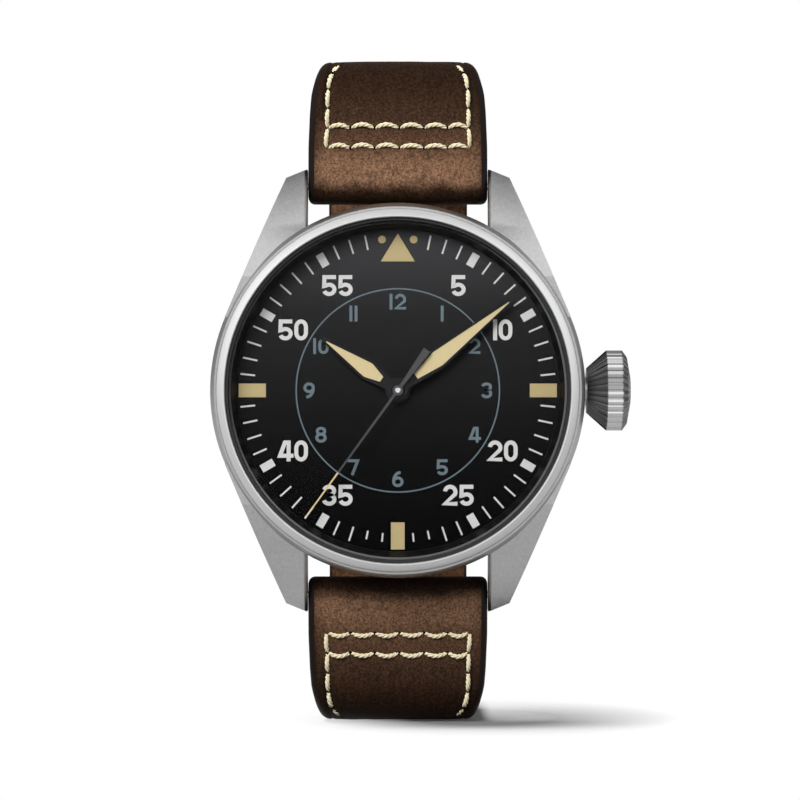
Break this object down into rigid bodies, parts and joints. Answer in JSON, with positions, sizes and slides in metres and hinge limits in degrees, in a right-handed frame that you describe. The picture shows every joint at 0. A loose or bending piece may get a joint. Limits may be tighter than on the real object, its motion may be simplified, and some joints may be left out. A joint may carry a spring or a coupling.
{
  "type": "pilot wristwatch",
  "caption": "Automatic pilot wristwatch with round metal case, black dial with luminous sword hands, diamond shaped crown, glass back and buckled leather strap.",
  "frame": {"origin": "centre of the case back's outer face, on the dial's axis", "axes": "+Z towards twelve o'clock, +X towards the crown, +Y out of the case back into the strap's loop; the dial faces -Y"},
  "size_m": [0.0484, 0.0665, 0.0772],
  "materials": {
    "balance_cock": "satin",
    "balance_wheel": "polished",
    "bar_pin_lower_left": "satin",
    "bar_pin_lower_right": "satin",
    "bar_pin_upper_left": "satin",
    "bar_pin_upper_right": "satin",
    "barrel": "satin",
    "barrel_bridge": "satin",
    "bezel": "satin",
    "bridge_screws": "polished",
    "buckle_bar": "satin",
    "buckle_frame": "matte",
    "buckle_tongue": "matte",
    "cannon_pinion": "satin",
    "case_back": "matte",
    "case_back_crystal": "polished",
    "case_back_gasket": "matte",
    "case_middle": "matte",
    "centre_tube": "satin",
    "click": "satin",
    "crown": "polished",
    "crown_gasket": "matte",
    "crown_tube": "satin",
    "crown_wheel": "satin",
    "crystal": "polished",
    "crystal_gasket": "satin",
    "dial": "matte",
    "dial_markers": "matte",
    "driving_pinion": "satin",
    "escape_wheel": "polished",
    "fixed_keeper": "satin",
    "flange_ring": "matte",
    "free_keeper": "satin",
    "great_wheel": "satin",
    "hairspring": "satin",
    "hour_hand": "satin",
    "hour_hand_lume": "matte",
    "hour_wheel": "satin",
    "jewels": "polished",
    "main_plate": "satin",
    "minute_hand": "satin",
    "minute_hand_lume": "matte",
    "minute_wheel": "satin",
    "movement_ring": "satin",
    "pallet_bridge": "satin",
    "pallet_fork": "polished",
    "ratchet_wheel": "satin",
    "rotor": "satin",
    "rotor_bearing": "polished",
    "rotor_weight": "satin",
    "seconds_hand": "satin",
    "seconds_wheel": "satin",
    "setting_lever": "satin",
    "spring_bar_tubes": "satin",
    "strap_lower": "satin",
    "strap_upper": "satin",
    "third_wheel": "satin",
    "train_bridge": "satin",
    "winding_pinion": "satin",
    "winding_stem": "polished"
  },
  "bodies": {
    "head_and_strap": {"balance_cock": "balance_cock", "barrel_bridge": "barrel_bridge", "bezel": "bezel", "bridge_screws": "bridge_screws", "case_back": "case_back", "case_back_crystal": "case_back_crystal", "case_back_gasket": "case_back_gasket", "case_middle": "case_middle", "centre_tube": "centre_tube", "crown_tube": "crown_tube", "crystal": "crystal", "crystal_gasket": "crystal_gasket", "dial": "dial", "dial_markers": "dial_markers", "fixed_keeper": "fixed_keeper", "flange_ring": "flange_ring", "hairspring": "hairspring", "jewels": "jewels", "main_plate": "main_plate", "movement_ring": "movement_ring", "pallet_bridge": "pallet_bridge", "rotor_bearing": "rotor_bearing", "spring_bar_tubes": "spring_bar_tubes", "strap_lower": "strap_lower", "strap_upper": "strap_upper", "train_bridge": "train_bridge"},
    "minute_hand": {"minute_hand": "minute_hand", "minute_hand_lume": "minute_hand_lume", "cannon_pinion": "cannon_pinion"},
    "hour_hand": {"hour_hand": "hour_hand", "hour_hand_lume": "hour_hand_lume", "hour_wheel": "hour_wheel"},
    "minute_wheel": {"minute_wheel": "minute_wheel"},
    "driving_pinion": {"driving_pinion": "driving_pinion"},
    "seconds_hand": {"seconds_hand": "seconds_hand", "seconds_wheel": "seconds_wheel"},
    "third_wheel": {"third_wheel": "third_wheel"},
    "great_wheel": {"great_wheel": "great_wheel"},
    "barrel": {"barrel": "barrel"},
    "escape_wheel": {"escape_wheel": "escape_wheel"},
    "pallet_fork": {"pallet_fork": "pallet_fork"},
    "balance_wheel": {"balance_wheel": "balance_wheel"},
    "rotor": {"rotor": "rotor", "rotor_weight": "rotor_weight"},
    "setting_lever": {"setting_lever": "setting_lever"},
    "crown": {"crown": "crown", "winding_stem": "winding_stem", "crown_gasket": "crown_gasket"},
    "winding_pinion": {"winding_pinion": "winding_pinion"},
    "crown_wheel": {"crown_wheel": "crown_wheel"},
    "ratchet_wheel": {"ratchet_wheel": "ratchet_wheel"},
    "click": {"click": "click"},
    "bar_pin_upper_left": {"bar_pin_upper_left": "bar_pin_upper_left"},
    "bar_pin_upper_right": {"bar_pin_upper_right": "bar_pin_upper_right"},
    "bar_pin_lower_left": {"bar_pin_lower_left": "bar_pin_lower_left"},
    "bar_pin_lower_right": {"bar_pin_lower_right": "bar_pin_lower_right"},
    "free_keeper": {"free_keeper": "free_keeper"},
    "buckle_frame": {"buckle_frame": "buckle_frame", "buckle_bar": "buckle_bar"},
    "buckle_tongue": {"buckle_tongue": "buckle_tongue"}
  },
  "joints": [
    {"name": "minute_hand_turn", "type": "hinge", "parent": "head_and_strap", "child": "minute_hand", "pos_m": [0, 0, 0], "axis": [0, 1, 0], "continuous": true},
    {"name": "hour_hand_turn", "type": "hinge", "parent": "head_and_strap", "child": "hour_hand", "pos_m": [0, 0, 0], "axis": [0, 1, 0], "continuous": true},
    {"name": "minute_wheel_turn", "type": "hinge", "parent": "head_and_strap", "child": "minute_wheel", "pos_m": [0.00166, 0, 0.00235], "axis": [0, 1, 0], "continuous": true},
    {"name": "driving_pinion_turn", "type": "hinge", "parent": "head_and_strap", "child": "driving_pinion", "pos_m": [0.00048, 0, 0.00498], "axis": [0, 1, 0], "continuous": true},
    {"name": "seconds_hand_turn", "type": "hinge", "parent": "head_and_strap", "child": "seconds_hand", "pos_m": [0, 0, 0], "axis": [0, 1, 0], "continuous": true},
    {"name": "third_wheel_turn", "type": "hinge", "parent": "head_and_strap", "child": "third_wheel", "pos_m": [-0.00356, 0, 0.00262], "axis": [0, 1, 0], "continuous": true},
    {"name": "great_wheel_turn", "type": "hinge", "parent": "head_and_strap", "child": "great_wheel", "pos_m": [0.00048, 0, 0.00498], "axis": [0, 1, 0], "continuous": true},
    {"name": "barrel_turn", "type": "hinge", "parent": "head_and_strap", "child": "barrel", "pos_m": [0.00547, 0, 0.00752], "axis": [0, 1, 0], "continuous": true},
    {"name": "escape_wheel_turn", "type": "hinge", "parent": "head_and_strap", "child": "escape_wheel", "pos_m": [-0.00335, 0, -0.00235], "axis": [0, 1, 0], "continuous": true},
    {"name": "pallet_fork_swing", "type": "hinge", "parent": "head_and_strap", "child": "pallet_fork", "pos_m": [-0.00285, 0, -0.00521], "axis": [0, 1, 0], "range_deg": [-5, 5]},
    {"name": "balance_swing", "type": "hinge", "parent": "head_and_strap", "child": "balance_wheel", "pos_m": [-0.0023, 0, -0.00836], "axis": [0, 1, 0], "range_deg": [-150, 150]},
    {"name": "rotor_turn", "type": "hinge", "parent": "head_and_strap", "child": "rotor", "pos_m": [0, 0, 0], "axis": [0, 1, 0], "continuous": true},
    {"name": "crown_pull", "type": "slide", "parent": "head_and_strap", "child": "setting_lever", "axis": [1, 0, 0], "range_m": [0, 0.0012]},
    {"name": "crown_turn", "type": "hinge", "parent": "setting_lever", "child": "crown", "pos_m": [0.0076, -0.0052, 0], "axis": [1, 0, 0], "continuous": true},
    {"name": "winding_pinion_turn", "type": "hinge", "parent": "head_and_strap", "child": "winding_pinion", "pos_m": [0.01052, -0.0052, 0], "axis": [1, 0, 0], "continuous": true},
    {"name": "crown_wheel_turn", "type": "hinge", "parent": "head_and_strap", "child": "crown_wheel", "pos_m": [0.00701, 0, 0], "axis": [0, 1, 0], "continuous": true},
    {"name": "ratchet_wheel_turn", "type": "hinge", "parent": "head_and_strap", "child": "ratchet_wheel", "pos_m": [0.00547, 0, 0.00752], "axis": [0, 1, 0], "continuous": true},
    {"name": "click_swing", "type": "hinge", "parent": "head_and_strap", "child": "click", "pos_m": [0.0002, 0, 0.00944], "axis": [0, 1, 0], "range_deg": [0, 12]},
    {"name": "bar_pin_upper_left_slide", "type": "slide", "parent": "head_and_strap", "child": "bar_pin_upper_left", "axis": [1, 0, 0], "range_m": [0, 0.0008], "stiffness_N_per_m": 300, "springref_m": -0.003},
    {"name": "bar_pin_upper_right_slide", "type": "slide", "parent": "head_and_strap", "child": "bar_pin_upper_right", "axis": [-1, 0, 0], "range_m": [0, 0.0008], "stiffness_N_per_m": 300, "springref_m": -0.003},
    {"name": "bar_pin_lower_left_slide", "type": "slide", "parent": "head_and_strap", "child": "bar_pin_lower_left", "axis": [1, 0, 0], "range_m": [0, 0.0008], "stiffness_N_per_m": 300, "springref_m": -0.003},
    {"name": "bar_pin_lower_right_slide", "type": "slide", "parent": "head_and_strap", "child": "bar_pin_lower_right", "axis": [-1, 0, 0], "range_m": [0, 0.0008], "stiffness_N_per_m": 300, "springref_m": -0.003},
    {"name": "free_keeper_slide", "type": "slide", "parent": "head_and_strap", "child": "free_keeper", "axis": [0, 0, 1], "range_m": [-0.0025, 0.0022]},
    {"name": "buckle_frame_tilt", "type": "hinge", "parent": "head_and_strap", "child": "buckle_frame", "pos_m": [0, 0.0443, 0.007], "axis": [1, 0, 0], "range_deg": [0, 3]},
    {"name": "buckle_tongue_tilt", "type": "hinge", "parent": "buckle_frame", "child": "buckle_tongue", "pos_m": [0, 0.0443, 0.007], "axis": [1, 0, 0], "range_deg": [0, 1]}
  ],
  "couplings": [
    {"joint": "minute_wheel_turn", "follows": "minute_hand_turn", "ratio": -0.33333},
    {"joint": "hour_hand_turn", "follows": "minute_hand_turn", "ratio": 0.083333},
    {"joint": "driving_pinion_turn", "follows": "minute_hand_turn", "ratio": 1},
    {"joint": "third_wheel_turn", "follows": "seconds_hand_turn", "ratio": -0.13333},
    {"joint": "great_wheel_turn", "follows": "seconds_hand_turn", "ratio": 0.016667},
    {"joint": "barrel_turn", "follows": "seconds_hand_turn", "ratio": -0.002381},
    {"joint": "escape_wheel_turn", "follows": "seconds_hand_turn", "ratio": -12},
    {"joint": "winding_pinion_turn", "follows": "crown_turn", "ratio": 1},
    {"joint": "crown_wheel_turn", "follows": "crown_turn", "ratio": -0.5},
    {"joint": "ratchet_wheel_turn", "follows": "crown_turn", "ratio": 0.35714}
  ]
}
